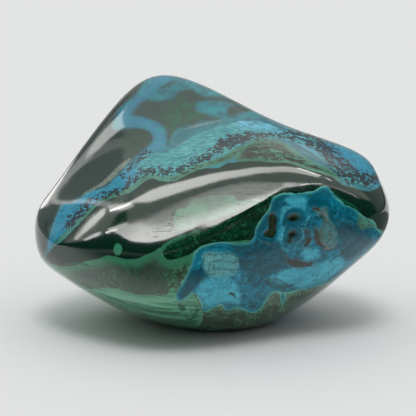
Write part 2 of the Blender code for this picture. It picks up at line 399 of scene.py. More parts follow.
BACK_LOWER = (
    (-36, 15), (-26, 14), (-20, 19), (-9, 21.5), (-2, 19), (3, 14.5), (8, 17), (13, 16), (18, 17),
    (25, 12), (36, 9), (36, -8), (-36, -8),
)
BACK_BANDED = (
    (2, 11), (6, 14), (11, 14.5), (17, 14), (24, 10), (36, 6), (36, -8), (-10, -8), (-3, 4),
)

# ------------------------------------------------ underside sheet, mm (x, y)

UNDER_ALL = ((-50, -50), (50, -50), (50, 50), (-50, 50))
UNDER_BANDED = ((-36, -24), (-36, 24), (-14, 24), (-8, 12), (-9, 3), (-4, -5), (-7, -12), (-5, -24))
UNDER_PATCH = (
    (-2, -4), (4, -7), (10, -6), (13, -2), (18, 1), (16, 6), (10, 8), (6, 5), (1, 6), (-3, 2),
)
UNDER_LIGHT_PATCH = ((3, -3), (8, -4), (11, 0), (8, 4), (4, 2))


# ------------------------------------------------ sheets and fields

def smooth_outline(points, closed, steps=5):
    """A Catmull-Rom curve through points, which may carry a half width as their third number."""
    given = np.array(points, float)
    if closed:
        before, after = np.roll(given, 1, 0), np.roll(given, -1, 0)
        beyond = np.roll(given, -2, 0)
    else:
        before = np.vstack((given[:1], given[:-2]))
        after = given[1:]
        beyond = np.vstack((given[2:], given[-1:]))
        given = given[:-1]
    t = (np.arange(steps) / steps)[None, :, None]
    a, b, c, d = (side[:, None, :] for side in (before, given, after, beyond))
    curve = 0.5 * (2 * b + (c - a) * t + (2 * a - 5 * b + 4 * c - d) * t**2
                   + (3 * b - a - 3 * c + d) * t**3)
    curve = curve.reshape(-1, given.shape[1])
    return curve if closed else np.vstack((curve, np.array(points[-1], float)))


def along_segments(spots, starts, ends):
    """For each spot the distance to each segment, and the share of it that its foot lies along."""
    run = ends - starts
    length = np.maximum((run**2).sum(1), 1e-12)
    offset = spots[:, None, :] - starts[None]
    share = np.clip((offset * run[None]).sum(2) / length, 0, 1)
    return np.linalg.norm(offset - share[..., None] * run[None], axis=2), share


class Sheet:
    """Vertices laid on a flat sheet, on which fields are measured."""

    def __init__(self, places, scale):
        self.places = places
        self.scale = scale

    def near(self, low, high):
        margin = -NEVER / self.scale * 0.4
        return np.all((self.places > low - margin) & (self.places < high + margin), axis=1)

    def area(self, points):
        curve = smooth_outline(points, True)
        field = np.full(len(self.places), NEVER)
        pick = self.near(curve.min(0), curve.max(0))
        spots = self.places[pick]
        ends = np.roll(curve, -1, 0)
        gap = along_segments(spots, curve, ends)[0].min(1)
        x, y = spots[:, :1], spots[:, 1:]
        crosses = (curve[None, :, 1] > y) != (ends[None, :, 1] > y)
        rise = ends[:, 1] - curve[:, 1]
        rise = np.where(np.abs(rise) < 1e-9, 1e-9, rise)
        meet = curve[:, 0] + (y - curve[:, 1]) / rise * (ends[:, 0] - curve[:, 0])
        inside = (crosses & (x < meet)).sum(1) % 2 == 1
        field[pick] = np.where(inside, gap, -gap) * self.scale
        return field

    def ribbon(self, points):
        curve = smooth_outline(points, False)
        field = np.full(len(self.places), NEVER)
        pick = self.near(curve[:, :2].min(0), curve[:, :2].max(0))
        gap, share = along_segments(self.places[pick], curve[:-1, :2], curve[1:, :2])
        width = curve[:-1, 2] + share * (curve[1:, 2] - curve[:-1, 2])
        field[pick] = (width - gap).max(1) * self.scale
        return field

    def spot(self, shape):
        x, y, wide, tall, turn = shape
        across = self.places - (x, y)
        c, s = math.cos(math.radians(turn)), math.sin(math.radians(turn))
        u = (across[:, 0] * c + across[:, 1] * s) / wide
        v = (across[:, 1] * c - across[:, 0] * s) / tall
        return np.maximum((1 - np.hypot(u, v)) * min(wide, tall) * self.scale, NEVER)

    def all_of(self, shapes):
        """The union of areas (pairs of numbers), ribbons (threes) and one spot (five numbers)."""
        field = np.full(len(self.places), NEVER)
        for shape in shapes:
            if not isinstance(shape[0], tuple):
                one = self.spot(shape)
            elif len(shape[0]) == 2:
                one = self.area(shape)
            else:
                one = self.ribbon(shape)
            field = np.maximum(field, one)
        return field


# The shapes of each field: those of the front sheet, of the back sheet and of the underside.
FIELDS = {
    "crown": ((CROWN,), (BACK_CROWN,)),
    "dish": ((DISH,),),
    "moss": ((MOSS, MOSS_TOP),),
    "hook": ((HOOK,),),
    "olive": ((OLIVE_WEDGE, OLIVE_ISLAND, OLIVE_LEAF), (BACK_OLIVE,)),
    "lobe": ((LOBE,),),
    "lobe_highlight_line": ((LOBE_HIGHLIGHT_LINE,),),
    "cream_and_highlight": ((CREAM_TAIL, CREAM_AND_HIGHLIGHT_STREAK, BAND_LIP),),
    "band": ((BAND,), (BACK_BAND,)),
    "bluing": ((BLUE_LEFT, BLUE_RIGHT),),
    "sky": ((SKY_TOP, SKY_WEDGE),),
    "sage": ((SAGE_LINE, SAGE_LENS), (BACK_SAGE,)),
    "specks": ((SPECK_TRAIL, SPECK_TOP, SPECK_DISH), (BACK_SPECKS,)),
    "pale": ((PALE_PATCH,),),
    "spot": ((GREEN_SPOT, SPOT_VEIN),),
    "scuffs": ((SCUFF_LEFT, SCUFF_RIGHT),),
    "velvet": ((VELVET,), (BACK_VELVET,)),
    "lip": ((LIP,), (BACK_LIP,)),
    "lower": ((LOWER,), (BACK_LOWER,), (UNDER_ALL,)),
    "banded": ((BANDED,), (BACK_BANDED,), (UNDER_BANDED,)),
    "lines": (
        (LINE_ONE, LINE_TWO, LINE_THREE, LINE_FOUR, LINE_FOOT, LINE_STROKE, TICK_ONE, TICK_TWO,
         TICK_THREE, KNOT, KNOT_LOOP, KNOT_EYE, OUTER_RIM),
    ),
    "stripes": ((PALE_STRIPE, PALE_LOWER, KNOT_RING, LIGHT_FOOT),),
    "dusk": ((DUSK, DUSK_LEFT),),
    "patch": ((PATCH, DRIP, FOOT_LINE), (BACK_PATCH,), (UNDER_PATCH,)),
    "light": (
        (LIGHT_LEFT, LIGHT_RIGHT, LIGHT_TOP, LIGHT_LASH, LIGHT_CHEEK, LIGHT_KNOT),
        (BACK_LIGHT,), (UNDER_LIGHT_PATCH,),
    ),
    "deep": ((DEEP_RING, DEEP_TOP, DEEP_LEFT, DEEP_WEDGE, DEEP_FOLD, DEEP_CURL),),
    "crackle": ((CRACKLE,),),
    "slate": ((SLATE_HEART, SLATE_FOOT, SLATE_LOBE, SLATE_RIGHT), (BACK_SLATE,)),
    "rust": (
        (RUST_VEIN, RUST_KNOT, RUST_SPARK, RUST_CRESCENT, RUST_STEM, RUST_CURL), (BACK_RUST,),
    ),
    "rough": ((ROUGH,),),
    "corner": ((CORNER,),),
    "streak": ((ROUGH_STREAK, ROUGH_FOOT),),
    "leaf": ((LEAF,),),
    "cracks": ((TILE_LEFT, TILE_MIDDLE, TILE_RIGHT, TILE_FAR),),
    "eyes": ((EYE_ONE, EYE_THREE), (BACK_EYE, BACK_EYE_SMALL)),
    "hollow": ((EYE_TWO,),),
    "pits": ((PIT_ONE, PIT_TWO, PIT_DASH, PIT_WEDGE, PIT_TOP, PIT_ROUGH, PIT_CURVE, LEAF_TIP),),
}


def smooth_step(values, low, high):
    t = np.clip((values - low) / (high - low), 0, 1)
    return t * t * (3 - 2 * t)


def stone_fields(mesh, camera_distance, elevation, lens):
    """Every field of FIELDS, measured on the front, back and underside sheets and joined."""
    count = len(mesh.vertices)
    places, normals = np.zeros(count * 3), np.zeros(count * 3)
    mesh.vertices.foreach_get("co", places)
    mesh.vertices.foreach_get("normal", normals)
    places, normals = places.reshape(-1, 3), normals.reshape(-1, 3)
    cos_e, sin_e = math.cos(elevation), math.sin(elevation)
    strength = SHEET * lens / SENSOR
    off = places - AIM
    depth = camera_distance + off[:, 1] * cos_e - off[:, 2] * sin_e
    front_places = np.stack((
        SHEET / 2 + strength * off[:, 0] / depth,
        SHEET / 2 - strength * (off[:, 1] * sin_e + off[:, 2] * cos_e) / depth,
    ), 1)
    step = camera_distance / strength / MM
    front = Sheet(front_places, step)
    back = Sheet(places[:, (0, 2)] * (-1 / MM, 1 / MM), 1.0)
    under = Sheet(places[:, :2] / MM, 1.0)
    eye = np.array(AIM) + camera_distance * np.array((0, -cos_e, sin_e)) - places
    eye /= np.linalg.norm(eye, axis=1, keepdims=True)
    facing = smooth_step((eye * normals).sum(1), *FACING_EDGE)
    downward = smooth_step(-normals[:, 2], *DOWNWARD_EDGE) * (1 - facing)
    sheets = ((front, facing), (back, 1 - facing - downward), (under, downward))
    made = {"behind": 1 - facing}
    for name, shapes in FIELDS.items():
        made[name] = sum(
            share * sheet.all_of(shapes[number] if number < len(shapes) else ())
            for number, (sheet, share) in enumerate(sheets))
    return made


# ------------------------------------------------ shader sums

def srgb(red, green, blue):
    """A screen colour, 0 to 255, as the linear colour that a shader takes."""
    linear = [v / 12.92 if v <= 0.04045 else ((v + 0.055) / 1.055) ** 2.4
              for v in (red / 255, green / 255, blue / 255)]
    return (*linear, 1.0)


class Tone:
    """A shader socket that takes part in sums as a number does."""

    def __init__(self, maker, socket):
        self.maker, self.socket = maker, socket

    def sum(self, operation, *terms):
        return self.maker.node("ShaderNodeMath", {"operation": operation}, dict(enumerate(terms)))

    def sine(self):
        return self.sum("SINE", self)

    def larger(self, other):
        return self.sum("MAXIMUM", self, other)

    def lay(self, share, colour):
        """Lays a colour over this one, as thickly as share says."""
        self.socket = self.maker.blend(share, self, colour).socket

    def __add__(self, other):
        return self.sum("ADD", self, other)

    def __radd__(self, other):
        return self.sum("ADD", other, self)

    def __sub__(self, other):
        return self.sum("SUBTRACT", self, other)

    def __rsub__(self, other):
        return self.sum("SUBTRACT", other, self)

    def __mul__(self, other):
        return self.sum("MULTIPLY", self, other)

    def __rmul__(self, other):
        return self.sum("MULTIPLY", other, self)

    def __abs__(self):
        return self.sum("ABSOLUTE", self)


class Maker:
    """Builds the nodes of one material or world."""

    def __init__(self, owner):
        owner.use_nodes = True
        self.tree = owner.node_tree
        self.tree.nodes.clear()
        self.wander = 0.0

    def node(self, kind, settings=None, values=None, output=0):
        """One node: its settings are set first, then its sockets' values or links."""
        made = self.tree.nodes.new(kind)
        for name, value in (settings or {}).items():
            setattr(made, name, value)
        for key, value in (values or {}).items():
            if isinstance(value, Tone):
                self.tree.links.new(value.socket, made.inputs[key])
            else:
                made.inputs[key].default_value = value
        return Tone(self, made.outputs[output]) if made.outputs else None

    def surface(self, shader, kind="Material"):
        self.node("ShaderNodeOutput" + kind, {}, {"Surface": shader})

    def place(self, output=3):
        return self.node("ShaderNodeTexCoord", output=output)

    def along(self, place, axis):
        return self.node("ShaderNodeSeparateXYZ", {}, {"Vector": place}, output=axis)

    def attribute(self, name):
        return self.node("ShaderNodeAttribute", {"attribute_name": name}, output=2)

    def field(self, name):
        """A field of the stone, its shapes pushed in and out where they wander."""
        return self.attribute(name) + self.wander

    def stretched(self, place, stretch):
        return self.node("ShaderNodeVectorMath", {"operation": "MULTIPLY"}, {0: place, 1: stretch})

    def noise(self, place, scale, detail, rough, twist=0.0):
        return self.node("ShaderNodeTexNoise", {}, {
            "Vector": place, "Scale": scale, "Detail": detail, "Roughness": rough,
            "Distortion": twist})

    def cells(self, place, scale):
        return self.node("ShaderNodeTexVoronoi", {}, {"Vector": place, "Scale": scale})

    def edge(self, tone, low, high):
        """0 below low, 1 above high, and a smooth step between them."""
        return self.node(
            "ShaderNodeMapRange", {"interpolation_type": "SMOOTHSTEP"},
            {"Value": tone, "From Min": low, "From Max": high})

    def hump(self, tone, centre, half):
        """1 where tone is at centre, falling to 0 half away from it."""
        return 1 - self.edge(abs(tone - centre), 0.0, half)

    def blend(self, share, first, second):
        return self.node(
            "ShaderNodeMix", {"data_type": "RGBA"}, {0: share, 6: first, 7: second}, output=2)


# ------------------------------------------------ the stone's finish

BLACK_GREEN = srgb(15, 46, 36)
DISH_GREY = srgb(50, 68, 62)
DISH_GREEN = srgb(44, 84, 62)
DUSTY_TEAL = srgb(50, 114, 126)
HOOK_BLUE = srgb(64, 138, 172)
SPECK_VIOLET = srgb(28, 24, 36)
SAGE = srgb(84, 150, 126)
SAGE_BROWN = srgb(38, 44, 42)
OLIVE_GREY = srgb(62, 76, 70)
OLIVE_GREEN = srgb(44, 104, 70)
# Cream stone, made lighter so that it also serves as the painted highlight streak along the dish.
CREAM_AND_HIGHLIGHT = srgb(146, 162, 146)
BAND_BLUE = srgb(38, 152, 190)
BAND_PALE = srgb(102, 188, 186)
VELVET_DEEP = srgb(9, 52, 34)
VELVET_BRIGHT = srgb(24, 112, 70)
LEAF_GREEN = srgb(66, 150, 112)
PALE_GREEN = srgb(58, 132, 96)
PALE_DEEP = srgb(32, 96, 68)
MALACHITE_PALE = srgb(122, 192, 162)
MALACHITE_DARK = srgb(18, 92, 66)
MOTTLE_GREEN = srgb(62, 104, 84)
MOTTLE_DARK = srgb(46, 72, 60)
DUSK_VIOLET = srgb(70, 82, 76)
PATCH_DEEP = srgb(6, 104, 124)
PATCH_INK = srgb(2, 44, 58)
PATCH_PALE = srgb(80, 202, 226)
SLATE = srgb(34, 90, 104)
PATCH_RIM = srgb(112, 194, 172)
MUD = srgb(56, 60, 46)
TAN = srgb(112, 114, 98)
RUST = srgb(76, 64, 48)
ROUGH_GREY = srgb(140, 146, 144)
ROUGH_GREEN = srgb(86, 150, 144)
CRACKLE_GREEN = srgb(140, 216, 212)
CORNER_GREEN = srgb(100, 160, 132)
LEAF_SHADE = srgb(40, 88, 82)
CORE_DARK = srgb(12, 18, 12)
CORE_GREEN = srgb(40, 62, 30)
HOLLOW_OLIVE = srgb(40, 64, 40)
SKY_BLUE = srgb(118, 206, 236)
BAND_DEEP = srgb(28, 96, 112)
RIM_TEAL = srgb(40, 146, 146)
UNDER_BROWN = srgb(52, 54, 44)
UNDER_LIGHT = srgb(98, 156, 124)
SPECK_INK = srgb(14, 34, 38)
UNDER_GREEN = srgb(50, 102, 76)
LAYER_NORMAL = (0.14, 0.06, 1.0)


def stone_finish(settings):
    """The whole stone's shader: fields with grainy edges, laid over each other."""
    finish = bpy.data.materials.new("polished_chrysocolla_and_malachite")
    maker = Maker(finish)
    edge, hump, blend = maker.edge, maker.hump, maker.blend
    noise, field = maker.noise, maker.field
    turquoise = (*settings.turquoise, 1.0)
    patch_blue = (*settings.blue, 1.0)
    malachite = (*settings.green, 1.0)

    place = maker.stretched(maker.place(), (1 / MM, 1 / MM, 1 / MM))
    broad = noise(place, 0.16, 3, 0.55)
    waves = noise(place, 0.5, 4, 0.62)
    grain = noise(place, 1.7, 4, 0.68)
    fine = noise(place, 4.5, 2, 0.6)
    warp = (waves - 0.5) * 2.2 + (grain - 0.5) * 1.5
    flecks = maker.cells(maker.stretched(place, (0.8, 0.7, 1.0)), 1.5) + (fine - 0.5) * 0.8
    drawn = noise(maker.stretched(place, (0.3, 1.2, 1.2)), 2.0, 4, 0.65, 0.4)
    strands = noise(maker.stretched(place, (0.4, 1.0, 1.3)), 1.3, 5, 0.75, 0.8)
    lace = noise(maker.stretched(place, (0.8, 0.9, 1.2)), 1.3, 4, 0.7, 0.15)
    drift = (noise(place, 0.11, 4, 0.6, 0.6) - 0.5) * 16 + (waves - 0.5) * 3
    maker.wander = maker.attribute("behind") * drift

    def zone(name, ragged, low, high):
        """A field's inside: its border is as ragged as asked, and rises from low to high."""
        return edge(field(name) + warp * ragged, low, high)

    # dark malachite ground
    ground = blend(edge(waves, 0.4, 0.72), BLACK_GREEN, VELVET_DEEP)

    # crown: teal, the grey dish, the blue hook and olive clouds
    top = blend(edge(waves, 0.34, 0.66), DUSTY_TEAL, turquoise)
    top.lay(edge(grain, 0.5, 0.75) * 0.3, OLIVE_GREEN)
    mossy = zone("moss", 0.9, -0.9, 0.9)
    dish_tone = blend(edge(lace, 0.46, 0.56) * mossy, DISH_GREY, DISH_GREEN)
    dish_tone.lay(edge(fine, 0.55, 0.75) * edge(waves, 0.45, 0.6) * mossy * 0.6, SPECK_VIOLET)
    green_share = edge(lace, 0.44, 0.56) * (mossy * 0.8 + 0.12)
    top.lay(zone("olive", 0.6, -0.45, 0.55) * 0.94, blend(green_share, OLIVE_GREY, OLIVE_GREEN))
    top.lay(zone("dish", 0.3, -0.3, 0.5), dish_tone)
    hook_field = field("hook") + warp * 0.18
    hook_tone = blend(hump(hook_field, 0.3, 0.22) * 0.35, HOOK_BLUE, DUSTY_TEAL)
    hook_tone.lay(edge(waves, 0.42, 0.62) * 0.55, turquoise)
    hook_tone.lay(edge(fine, 0.56, 0.7) * 0.3, DUSTY_TEAL)
    top.lay(edge(hook_field, -0.7, 0.6) * 0.92, hook_tone)
    top.lay(zone("lobe", 0.25, -0.3, 0.4) * 0.75, DUSTY_TEAL)

    # turquoise band with its blue ends, its sage edge and its dark specks
    band_field = field("band") + warp * 0.3
    band_tone = blend(edge(drawn, 0.42, 0.62), turquoise, BAND_PALE)
    band_tone.lay(zone("bluing", 0.9, -1.3, 0.9) * 0.85, BAND_BLUE)
    band_tone.lay(zone("sky", 0.7, -0.8, 0.8) * 0.8, SKY_BLUE)
    band_tone.lay(edge(grain, 0.52, 0.66) * 0.4, SAGE)
    band_tone.lay(edge(strands, 0.52, 0.58) * 0.6, BAND_DEEP)
    band_tone.lay(edge(fine, 0.55, 0.68) * 0.6, BAND_DEEP)
    top.lay(hump(band_field, -0.15, 0.3) * 0.5, DUSTY_TEAL)
    top.lay(edge(band_field, -0.1, 0.25), band_tone)
    sage_field = field("sage") + warp * 0.3
    sage_tone = blend(edge(broad, 0.42, 0.6) * 0.6, SAGE, OLIVE_GREEN)
    sage_tone.lay(edge(strands, 0.43, 0.5) * edge(sage_field, 0.1, 0.8), SAGE_BROWN)
    sage_tone.lay(edge(fine, 0.52, 0.68) * 0.4, OLIVE_GREEN)
    top.lay(edge(sage_field, -0.15, 0.2), sage_tone)
    # Cream streaks and the band's lip; along the dish the streak is a painted highlight.
    top.lay(zone("cream_and_highlight", 0.15, -0.1, 0.25) * (0.3 + edge(grain, 0.35, 0.6) * 0.5), CREAM_AND_HIGHLIGHT)
    # Painted highlight: a thin light line along the lobe's edge.
    top.lay(zone("lobe_highlight_line", 0.05, -0.12, 0.15) * 0.4, CREAM_AND_HIGHLIGHT)
    crowd = field("specks") + warp * 0.3
    clump = edge(lace + edge(crowd, -0.5, 0.8) * 0.1 + (broad - 0.5) * 0.12, 0.548, 0.578)
    dots = edge(edge(crowd, -0.45, 0.4) * 0.34 + (waves - 0.5) * 0.7 + 0.12 - flecks, 0.0, 0.1)
    speck = clump.larger(dots) * edge(crowd, -0.55, -0.1)
    top.lay(speck * 0.93, blend(edge(grain, 0.44, 0.6) * 0.7, SPECK_VIOLET, SPECK_INK))
    colour = blend(zone("crown", 0.2, -0.1, 0.12), ground, top)

    # ridge: its pale malachite and a green spot
    pale = zone("pale", 0.25, -0.1, 0.15)
    colour.lay(pale * 0.9, blend(edge(waves, 0.4, 0.62), PALE_DEEP, PALE_GREEN))
    colour.lay(zone("spot", 0.12, -0.15, 0.2), LEAF_GREEN)

    # velvet: deep green with a lighter lip
    velvet_field = field("velvet") + warp * 0.2
    velvet_tone = blend(edge(waves, 0.4, 0.75) * (0.25 + edge(grain, 0.3, 0.8) * 0.6),
                        VELVET_DEEP, VELVET_BRIGHT)
    velvet_tone.lay(edge(lace, 0.49, 0.57) * 0.55, BLACK_GREEN)
    velvet_tone.lay((1 - edge(lace, 0.4, 0.46)) * edge(grain, 0.45, 0.6) * 0.5, LEAF_GREEN)
    velvet_tone.lay(zone("lip", 0.3, -0.4, 0.5) * 0.75, LEAF_GREEN)
    colour.lay(edge(velvet_field, -0.1, 0.12), velvet_tone)

    # lower slopes: mottled, with arcs under the patch, then banded
    patch_field = field("patch") + (waves - 0.5) * 0.5 + (grain - 0.5) * 0.5
    lower_field = field("lower") + warp * 0.12
    mottled = blend(edge(grain, 0.4, 0.62), MOTTLE_DARK, MOTTLE_GREEN)
    arcs = (patch_field * 4 + waves * 10).sine()
    under = blend(edge(grain, 0.42, 0.6), UNDER_GREEN, UNDER_LIGHT)
    under.lay(edge(lace, 0.52, 0.6) * 0.5, UNDER_BROWN)
    under.lay(edge(arcs, 0.0, 0.9) * edge(waves, 0.4, 0.5) * 0.45, UNDER_BROWN)
    under.lay(hump(patch_field, -1.1, 1.1) * edge(waves, 0.36, 0.56) * 0.75, UNDER_BROWN)
    mottled.lay(hump(patch_field, -0.9, 0.8) * edge(waves, 0.42, 0.6) * 0.8, MUD)
    mottled.lay(edge(waves, 0.5, 0.66) * 0.35, MUD)
    mottled.lay(edge(fine, 0.56, 0.7) * 0.25, LEAF_GREEN)
    mottled.lay(edge(patch_field, -7.0, -3.0) * 0.9, under)
    mottled.lay(zone("dusk", 0.8, -0.6, 0.9) * (0.45 + edge(grain, 0.4, 0.6) * 0.35), DUSK_VIOLET)
    mottled.lay((1 - edge(lower_field, 0.3, 2.2)) * 0.75, LEAF_GREEN)
    banded_field = field("banded") + (waves - 0.5) * 0.3
    across = maker.node("ShaderNodeVectorMath", {"operation": "DOT_PRODUCT"},
                        {0: place, 1: LAYER_NORMAL}, output=1)
    layers = maker.node("ShaderNodeTexNoise", {"noise_dimensions": "1D"}, {
        "W": across + broad * 1.6 + waves * 0.25, "Scale": 1.1, "Detail": 4.0, "Roughness": 0.7})
    banded_tone = blend(edge(layers, 0.52, 0.62) * 0.75, malachite, MALACHITE_PALE)
    banded_tone.lay((1 - edge(layers, 0.4, 0.47)) * 0.7, MALACHITE_DARK)
    banded_tone.lay(zone("stripes", 0.06, -0.15, 0.3) * 0.6, MALACHITE_PALE)
    slopes = blend(edge(banded_field, -0.12, 0.2), mottled, banded_tone)
    colour.lay(edge(lower_field, -0.1, 0.12), slopes)
    colour.lay(zone("lines", 0.05, -0.17, 0.06) * 0.9, MALACHITE_DARK)

    # chrysocolla patch: marbled blues
    swirl = noise(place, 0.36, 5, 0.6, 1.4)
    marble = noise(place, 0.75, 5, 0.66, 2.0)
    patch = blend(edge(swirl, 0.38, 0.6), PATCH_DEEP, patch_blue)
    patch.lay(edge(marble, 0.5, 0.7) * 0.55, PATCH_PALE)
    light = zone("light", 0.6, -0.45, 0.5)
    patch.lay(light * (0.68 + edge(swirl, 0.4, 0.6) * 0.3), PATCH_PALE)
    crackle = zone("crackle", 0.5, -0.4, 0.5)
    patch.lay(crackle * (0.5 + edge(waves, 0.4, 0.6) * 0.25), CRACKLE_GREEN)
    cracks = hump(field("cracks") + (waves - 0.5) * 0.8 + (grain - 0.5) * 0.3, 0.0, 0.07)
    cracks = cracks * edge(swirl, 0.36, 0.5) * 0.8
    slate = zone("slate", 0.7, -0.5, 0.7)
    patch.lay(slate * (0.5 + edge(marble, 0.36, 0.6) * 0.45), SLATE)
    patch.lay(slate * edge(grain, 0.55, 0.7) * 0.4, MUD)
    patch.lay(zone("deep", 0.22, -0.25, 0.25) * (0.6 + edge(marble, 0.36, 0.6) * 0.35), PATCH_DEEP)
    threads = hump(marble, 0.5, 0.02) + hump(swirl, 0.46, 0.012)
    patch.lay(threads * edge(waves, 0.42, 0.55) * 0.75, PATCH_INK)
    patch.lay(edge(lace, 0.52, 0.6) * 0.35 * (1 - light * 0.8), PATCH_DEEP)
    patch.lay(cracks, MUD)
    growth = hump((patch_field * 5 + waves * 8).sine(), 0.9, 0.45)
    patch.lay(growth * edge(patch_field, 0.25, 0.7) * (1 - light * 0.7) * 0.35, PATCH_INK)
    patch.lay(edge(fine, 0.57, 0.68) * 0.25, PATCH_INK)
    rough = zone("rough", 0.6, -0.3, 0.4)
    patch.lay(rough * 0.75, ROUGH_GREEN)
    patch.lay(rough * edge(lace, 0.49, 0.55) * 0.5, MUD)
    patch.lay(rough * edge(waves, 0.56, 0.62) * 0.6, RUST)
    patch.lay(rough * edge(marble, 0.52, 0.62) * 0.6, ROUGH_GREY)
    patch.lay(zone("streak", 0.3, -0.2, 0.25) * edge(grain, 0.36, 0.56) * 0.8, ROUGH_GREY)
    patch.lay(zone("leaf", 0.1, -0.1, 0.15) * (0.25 + edge(grain, 0.36, 0.56) * 0.3), LEAF_SHADE)
    patch.lay(hump(field("leaf"), 0.05, 0.2) * 0.7, LEAF_SHADE)
    corner_tone = blend(edge(grain, 0.4, 0.6) * 0.7, CORNER_GREEN, MOTTLE_DARK)
    patch.lay(zone("corner", 0.15, -0.1, 0.15) * 0.85, corner_tone)
    rust_field = field("rust") + warp * 0.5
    patch.lay(hump(rust_field, -0.3, 0.25) * edge(waves, 0.4, 0.55) * 0.35, TAN)
    rust_tone = blend(edge(grain, 0.4, 0.62), MUD, RUST)
    patch.lay(edge(rust_field, -0.28, 0.08) * 0.92, rust_tone)

    # dark eyes with rings round them, and small pits
    eyes = field("eyes") + warp * 0.3
    hollow = field("hollow") + warp * 0.3
    ring_share = edge(grain, 0.38, 0.6)
    patch.lay(hump(eyes, -1.2, 0.4) * ring_share * edge(waves, 0.38, 0.52) * 0.7, PATCH_PALE)
    patch.lay(hump(eyes, -0.6, 0.4) * edge(waves, 0.36, 0.5) * 0.7, PATCH_DEEP)
    patch.lay(hump(eyes, -0.12, 0.22) * 0.7, CORE_GREEN)
    patch.lay(hump(hollow, -0.3, 0.35) * ring_share * 0.7, PATCH_DEEP)
    core_tone = blend(edge(grain, 0.45, 0.62), CORE_DARK, CORE_GREEN)
    hollow_tone = blend(edge(grain, 0.36, 0.56), core_tone, HOLLOW_OLIVE)
    hollow_tone.lay(edge(fine, 0.5, 0.64) * 0.6, MUD)
    patch.lay(edge(hollow, -0.16, 0.2), hollow_tone)
    patch.lay(edge(eyes, -0.1, 0.15), core_tone)
    pits = zone("pits", 0.12, -0.14, 0.12)
    patch.lay(pits * 0.85, LEAF_SHADE)
    patch.lay(pits * edge(grain, 0.42, 0.56) * 0.9, CORE_GREEN)
    glow = (1 - edge(patch_field, 0.1, 1.0)) * (0.2 + edge(waves, 0.4, 0.6) * 0.35)
    patch.lay(glow, RIM_TEAL)
    rim = hump(patch_field, 0.1, 0.28) * (0.3 + edge(waves, 0.38, 0.58) * 0.6)
    patch.lay(rim, PATCH_RIM)
    inside = edge(patch_field, -0.07, 0.07)
    colour.lay(inside, patch)

    # polish: scuffs drawn along the ridge, and a duller surface on the chrysocolla
    along = maker.node("ShaderNodeMapping", {}, {
        "Vector": place, "Rotation": (0.0, math.radians(-14), 0.0), "Scale": (0.07, 1.0, 1.6)})
    scratches = noise(along, 3.2, 3, 0.7)
    scuffs = edge(scratches, 0.5, 0.62) * zone("scuffs", 1, -1.2, 1.2)
    shine = settings.gloss + scuffs * 0.3 + edge(scratches, 0.5, 0.75) * 0.05 + inside * 0.05
    height = noise(place, 0.35, 2, 0.5) * 0.06 + scratches * 0.005 + grain * 0.0025 * inside
    normal = maker.node("ShaderNodeBump", {}, {"Height": height * MM, "Strength": 0.5,
                                               "Distance": 1.0})
    crust = (1 - inside * 0.8) * (1 - scuffs * 0.85)
    shader = maker.node("ShaderNodeBsdfPrincipled", {}, {
        "Base Color": colour, "Roughness": shine, "IOR": 1.5, "Normal": normal,
        "Coat Weight": crust, "Coat Roughness": 0.04, "Coat IOR": 1.5,
    })
    maker.surface(shader)
    return finish


# ------------------------------------------------ settings a user would change

class StoneSettings(bpy.types.PropertyGroup):
    smoothing: IntProperty(
        name="Smoothing", description="How often each face of the skin is divided", default=2,
        min=0, max=2)
    pit_depth: FloatProperty(
        name="Pit depth", description="How deep the dark eyes of the blue patch are sunk",
        default=0.25 * MM, min=0.0, max=1 * MM, precision=5, subtype="DISTANCE", unit="LENGTH")
    gloss: FloatProperty(
        name="Roughness", description="Roughness of the polished surface, 0 for a mirror",
        default=0.1, min=0.0, max=1.0, subtype="FACTOR")
    turquoise: FloatVectorProperty(
        name="Turquoise", description="Colour of the chrysocolla band on the top",
        default=srgb(50, 150, 158)[:3], min=0.0, max=1.0, subtype="COLOR")
    blue: FloatVectorProperty(
        name="Blue", description="Colour of the chrysocolla patch on the front",
        default=srgb(18, 142, 170)[:3], min=0.0, max=1.0, subtype="COLOR")
    green: FloatVectorProperty(
        name="Malachite green", description="Colour of the banded malachite",
        default=srgb(76, 158, 120)[:3], min=0.0, max=1.0, subtype="COLOR")


class StageSettings(bpy.types.PropertyGroup):
    floor_size: FloatProperty(
        name="Floor size", description="Side of the square floor", default=4.0, min=0.5,
        subtype="DISTANCE", unit="LENGTH")
    floor_colour: FloatVectorProperty(
        name="Floor colour", description="Colour of the plain floor",
        default=(0.735, 0.738, 0.733), min=0.0, max=1.0, subtype="COLOR")
    tent: FloatProperty(
        name="Tent light", description="Strength of the even light from all round",
        default=0.88, min=0.0)
    overhead: FloatProperty(
        name="Overhead light", description="Strength of the soft light from above",
        default=0.9, min=0.0)
    lean: FloatProperty(
        name="Overhead lean", description="How far the soft light stands forward of overhead",
        default=math.radians(12), subtype="ANGLE", unit="ROTATION")
    sheen: FloatProperty(
        name="Sheen", description="Strength of the wide card above the stone", default=0.65,
        min=0.0)
    back: FloatProperty(
        name="Back light", description="Strength of the wide card behind the stone",
        default=0.5, min=0.0)
    cards: FloatProperty(
        name="Card light", description="Strength of the light cards that the polish mirrors",
        default=6.5, min=0.0)
    distance: FloatProperty(
        name="Camera distance", description="From the camera to the point that it looks at",
        default=0.304, min=0.05, subtype="DISTANCE", unit="LENGTH")
    elevation: FloatProperty(
        name="Camera elevation", description="Angle of the camera above the horizon",
        default=math.radians(15), subtype="ANGLE", unit="ROTATION")
    lens: FloatProperty(
        name="Lens", description="Focal length in millimetres on a 36 mm sensor", default=150.0,
        min=20.0)


# ------------------------------------------------ operators

JOIN_WITHIN = 0.001 * MM
PAIR_ANGLE = math.radians(70)
PIT_SHARE = 0.5  # depth of a small pit, against an eye's
RUST_SHARE = 0.35


def pick_only(thing):
    bpy.ops.object.select_all(action="DESELECT")
    thing.select_set(True)
    bpy.context.view_layer.objects.active = thing


